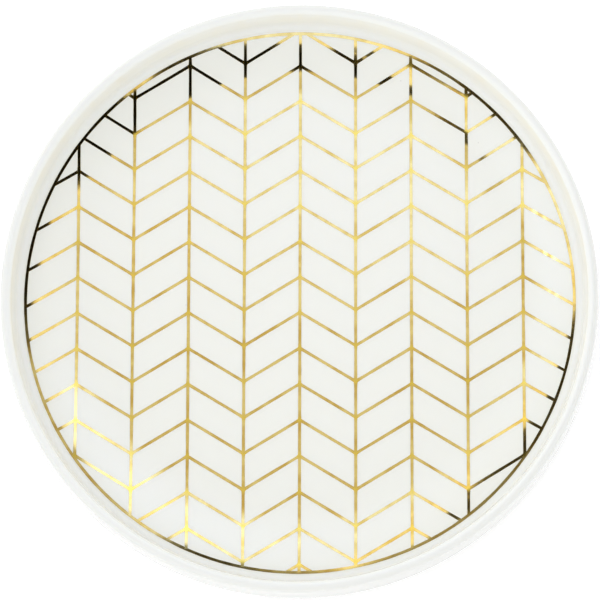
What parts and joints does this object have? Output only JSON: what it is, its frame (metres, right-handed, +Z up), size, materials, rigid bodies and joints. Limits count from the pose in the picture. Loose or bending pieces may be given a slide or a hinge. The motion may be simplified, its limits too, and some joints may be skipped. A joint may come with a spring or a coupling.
{
  "type": "ring dish",
  "caption": "Round shallow porcelain dish with a low upright rim, a foot ring and a thin gold herringbone inside a gold border.",
  "frame": {"origin": "middle of the resting plane, under the foot ring", "axes": "+Z up out of the open dish; +Y along the gold columns, the way the chevron peaks point; +X across the columns"},
  "size_m": [0.108, 0.108, 0.012],
  "materials": {
    "glazed_porcelain": "clear gloss glaze over white porcelain, foot ring wiped bare",
    "burnished_gold": "bright gold fired over the glaze"
  },
  "bodies": {
    "root": {"porcelain_body": "glazed_porcelain", "gold_border_ring": "burnished_gold", "gold_column_lines": "burnished_gold", "gold_chevron_lines": "burnished_gold"}
  },
  "joints": []
}
